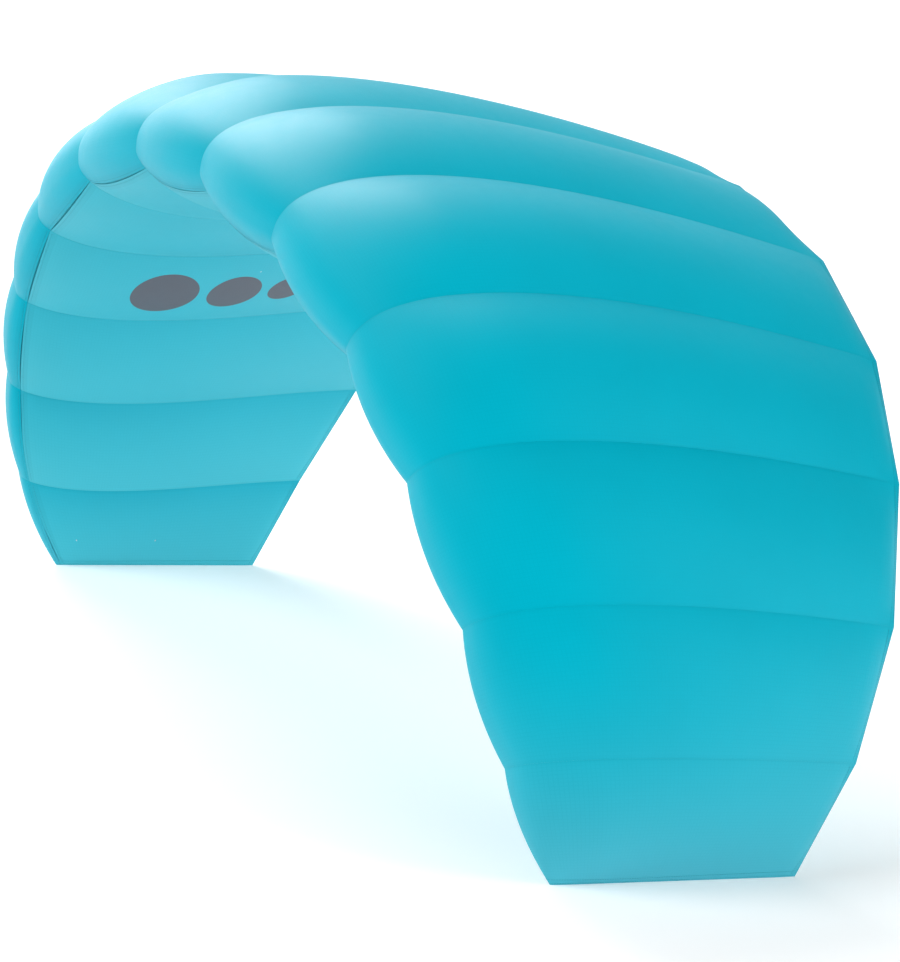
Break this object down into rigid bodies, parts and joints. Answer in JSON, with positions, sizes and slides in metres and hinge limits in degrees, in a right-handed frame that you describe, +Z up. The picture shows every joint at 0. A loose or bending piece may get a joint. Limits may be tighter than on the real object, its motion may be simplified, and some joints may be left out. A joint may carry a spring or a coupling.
{
  "type": "trainer kite",
  "caption": "Ram-air foil trainer kite canopy: an arch of inflated cloth cells between flat inner ribs, with closed pointed tips and narrow air intakes under the nose.",
  "frame": {"origin": "on the surface that the canopy stands on, under the middle of its box", "axes": "+X across the span, +Y from the noses to the tails, +Z up"},
  "size_m": [1.8612, 0.7868, 0.8344],
  "materials": {
    "upper_skin": "fine cyan ripstop cloth, coated, soft satin",
    "lower_skin": "fine cyan ripstop cloth, coated, a little paler inside the arch",
    "rib": "plain pale ripstop cloth"
  },
  "bodies": {
    "root": {"upper_01": "upper_skin", "lower_01": "lower_skin", "upper_02": "upper_skin", "lower_02": "lower_skin", "upper_03": "upper_skin", "lower_03": "lower_skin", "upper_04": "upper_skin", "lower_04": "lower_skin", "upper_05": "upper_skin", "lower_05": "lower_skin", "upper_06": "upper_skin", "lower_06": "lower_skin", "upper_07": "upper_skin", "lower_07": "lower_skin", "upper_08": "upper_skin", "lower_08": "lower_skin", "upper_09": "upper_skin", "lower_09": "lower_skin", "upper_10": "upper_skin", "lower_10": "lower_skin", "upper_11": "upper_skin", "lower_11": "lower_skin", "upper_12": "upper_skin", "lower_12": "lower_skin", "upper_13": "upper_skin", "lower_13": "lower_skin", "rib_01": "rib", "rib_02": "rib", "rib_03": "rib", "rib_04": "rib", "rib_05": "rib", "rib_06": "rib", "rib_07": "rib", "rib_08": "rib", "rib_09": "rib", "rib_10": "rib", "rib_11": "rib", "rib_12": "rib"}
  },
  "joints": []
}
